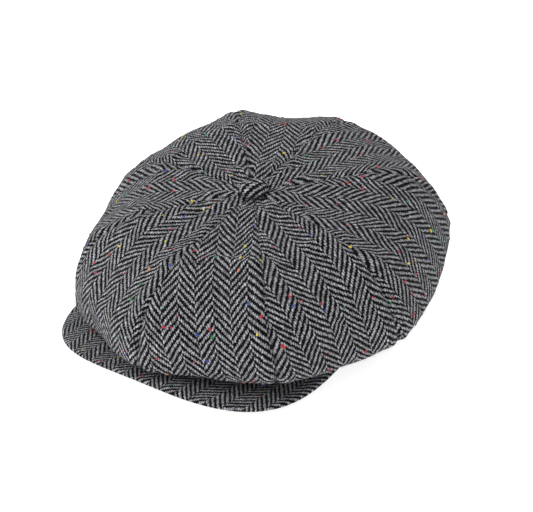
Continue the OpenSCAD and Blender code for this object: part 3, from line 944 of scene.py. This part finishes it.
# %% Stitch rows
def stitch_tree():
    t, given = new_tree("stitch row", Pitch="Float", Length="Float", Thickness="Float", Material="Material")
    path = add(t, "GeometryNodeResampleCurve", {
        "Curve": given["Geometry"], "Length": given["Pitch"]}, mode="LENGTH")
    turn = add(t, "FunctionNodeAlignRotationToVector", {
        "Vector": add(t, "GeometryNodeInputTangent")}, axis="X")
    half = add(t, "ShaderNodeMath", {0: given["Length"], 1: 0.5}, operation="MULTIPLY")
    slim = add(t, "ShaderNodeMath", {0: given["Thickness"], 1: 0.5}, operation="MULTIPLY")
    size = add(t, "ShaderNodeCombineXYZ", {0: half, 1: slim, 2: slim})
    bead = add(t, "GeometryNodeMeshUVSphere", {"Segments": 8, "Rings": 6, "Radius": 1.0})
    bead = add(t, "GeometryNodeTransform", {"Geometry": bead, "Rotation": (0, math.pi / 2, 0)})
    copies = add(t, "GeometryNodeInstanceOnPoints", {
        "Points": path, "Instance": bead, "Rotation": turn, "Scale": size})
    return finish_tree(t, copies, given["Material"])


stitches = stitch_tree()


def stitch_row(name, points, pitch, finish, thickness=0.45):
    path = bpy.data.curves.new(name + "_path", "CURVE")
    path.dimensions = "3D"
    line = path.splines.new("POLY")
    line.points.add(len(points) - 1)
    line.points.foreach_set("co", np.pad(points * MM, ((0, 0), (0, 1)), constant_values=1).ravel())
    line.use_cyclic_u = True
    source = put(name + "_path", path)
    made = nodes_result(name, source, stitches, {
        "Pitch": pitch * MM, "Length": pitch * 0.72 * MM, "Thickness": thickness * MM, "Material": finish})
    bpy.data.objects.remove(source)
    return made


def oval_line(half_w, half_l, z, count=360):
    phi = np.radians(np.linspace(0, 360, count, endpoint=False))
    return stack(half_w * np.sin(phi), -half_l * np.cos(phi), z)


def box_line(node, axis, inset):
    """The outline of a part's face at the low end of one axis, drawn in by the inset."""
    low, high = (np.array(v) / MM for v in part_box(node))
    wide, long = [a for a in range(3) if a != axis]
    line = np.zeros((4, 3))
    line[:, wide] = np.where([0, 1, 1, 0], high[wide] - inset, low[wide] + inset)
    line[:, long] = np.where([0, 0, 1, 1], high[long] - inset, low[long] + inset)
    line[:, axis] = low[axis] - 0.02
    return line


sweat_rows = [stitch_row(f"sweatband_stitches_{place}", oval_line(SWEAT_W - 0.12, SWEAT_L - 0.12, z), 2.6, thread)
              for place, z in (("top", BAND_H - 3.5), ("foot", 2.5))]
tag_rows = [stitch_row(name, box_line(node, axis, inset), pitch, pale_thread, 0.35)
            for name, node, axis, inset, pitch in (
                ("label_stitches", "maker_label", 2, 1.8, 2.0), ("size_tab_stitches", "size_tab", 1, 1.4, 1.8))]

# %% [markdown]
# ## What is hidden
# The board, the buckram, the metal shell and the button's back stay as the CAD made them, because their
# shape is right. They still get the finish of the real thing, since a part may be shown on its own.

# %% Materials of the hidden parts
def plain(name, colour, low, scale, roughness, metallic=0.0, depth=0.1, stretch=(1, 1, 1)):
    made, t, place = material(name)
    stretched = add(t, "ShaderNodeMapping", {"Vector": place, "Scale": stretch})
    grain = add(t, "ShaderNodeTexNoise", {"Vector": stretched, "Scale": scale, "Detail": 4})
    shade = add(t, "ShaderNodeMapRange", {0: grain, 1: 0.3, 2: 0.7})
    shade = add(t, "ShaderNodeMix", {0: shade, 6: linear(low), 7: linear(colour)}, data_type="RGBA")
    bump = add(t, "ShaderNodeBump", {"Height": grain, "Distance": depth * MM, "Strength": 0.5})
    solid = add(t, "ShaderNodeBsdfPrincipled", {
        "Base Color": shade.outputs[2], "Roughness": roughness, "Metallic": metallic, "Normal": bump})
    finish_material(t, solid)
    return made


hidden = {
    "peak_board": plain("pressed fibreboard", "#94845f", "#6f6145", 900, 0.8),
    "band_stiffener": plain("sized cotton buckram", "#c4bba5", "#978d76", 1100, 0.85, 0, 0.15, (1, 1, 2.5)),
    "button_shell": plain("stamped steel", "#b9bcc0", "#9b9ea3", 500, 0.32, 1.0, 0.02, (1, 1, 0.2)),
    "button_back": plain("zinc-plated steel", "#c3c6c9", "#a4a8ad", 700, 0.36, 1.0, 0.02),
}
for node_name, finish in hidden.items():
    cad[node_name].data.materials.clear()
    cad[node_name].data.materials.append(finish)
print("hidden parts finished:", ", ".join(hidden))

# %% [markdown]
# ## Which piece stands for which part
# Every piece rides on the cap's one body and, where it is a better version of a CAD part, replaces it.
# Pieces of cloth also say what size they were cut to.

# %% Tell the frame
def join_frame(piece, slot, *nodes):
    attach(piece, "root")
    if nodes:
        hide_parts(*nodes)


def cut_size(grid):
    """The width, length and area that a cloth grid was cut from, in metres and square metres."""
    a, b, c = grid[:-1, :-1], grid[:-1, 1:], grid[1:, :-1]
    area = np.linalg.norm(np.cross(b - a, c - a), axis=-1).sum() * MM**2
    width = lengths(grid, 1)[:, -1].max() * MM
    length = lengths(grid, 0)[-1].max() * MM
    return (float(width), float(length)), float(min(area, width * length))


def declare_cut(piece, grid):
    size, area = cut_size(grid)
    print(piece.name, "was cut from", [round(x / MM) for x in size], "mm, area", round(area * 1e4), "square cm")


for i in range(GORES):
    join_frame(gores[i], "crown_cloth", f"crown_panel_{i + 1}")
    join_frame(lining[i], "lining_satin", f"lining_panel_{i + 1}")
    declare_cut(gores[i], gore_grids[i])
    declare_cut(lining[i], lining_grids[i])
for part, slot, node in (
        (button, "button_cloth", "button_cover"),
        (peak_parts["peak_cover_top"][0], "peak_cloth", "peak_top_cover"),
        (peak_parts["peak_cover_under"][0], "peak_cloth", "peak_under_cover"),
        (band, "band_cloth", "outer_band"),
        (sweat, "sweatband_twill", "sweatband"),
        (maker, "label_ribbon", "maker_label"),
        (tab, "label_ribbon", "size_tab")):
    join_frame(part, slot, node)
for part in peak_parts.values():
    declare_cut(part[0], part[1])
for name, piece in scattered.items():
    join_frame(piece, name.split("_")[0] + "_cloth")
for piece in sweat_rows:
    join_frame(piece, "sweatband_twill")
for piece in tag_rows:
    join_frame(piece, "label_ribbon")

# %% [markdown]
# ## Floor and light
# A product picture is lit softly from above, on a pale sweep. One large light overhead does most of the
# work, a second from the left front opens the shadows, and a pale world fills the rest. The sweep itself
# glows a little, a painted light that keeps the cap's shadow faint.

# %% Floor, lights and world
glowing_floor_paint, t, place = material("matt white sweep with painted glow")
mottle = add(t, "ShaderNodeTexNoise", {"Vector": place, "Scale": 3, "Detail": 1})
shade = add(t, "ShaderNodeMix", {0: mottle, 6: linear("#f4f4f4"), 7: linear("#f8f8f8")}, data_type="RGBA")
# The sweep's emission is painted light: it glows though it is no lamp, so the cap's cast shadow stays faint.
finish_material(t, add(t, "ShaderNodeBsdfPrincipled", {
    "Base Color": shade.outputs[2], "Roughness": 0.9, "Emission Color": (1, 1, 1, 1), "Emission Strength": 0.7}))
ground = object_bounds()[0].z / MM - 0.3
FLOOR_REACH = 4000
floor_corners = [(a * FLOOR_REACH, b * FLOOR_REACH, ground) for a, b in ((-1, -1), (1, -1), (1, 1), (-1, 1))]
floor = mesh_object("floor", floor_corners, [(0, 1, 2, 3)], material=glowing_floor_paint)


def soft_light(name, place, size, power):
    lamp = bpy.data.lights.new(name, "AREA")
    lamp.shape, lamp.size, lamp.energy = "DISK", size, power
    made = put(name, lamp)
    made.location = place
    made.rotation_euler = (Vector((0, 0, 0.05)) - Vector(place)).to_track_quat("-Z", "Y").to_euler()


soft_light("overhead", (-0.55, -0.40, 1.15), 1.1, 7.0)
soft_light("front_fill", (-0.7, -1.1, 0.9), 0.9, 3.5)
world = bpy.data.worlds.new("pale room")
world.use_nodes = True
world.node_tree.nodes.clear()
add(world.node_tree, "ShaderNodeOutputWorld", {
    0: add(world.node_tree, "ShaderNodeBackground", {"Color": (1, 1, 1, 1), "Strength": 0.88})})
bpy.context.scene.world = world
bpy.context.scene.view_settings.view_transform = "Standard"
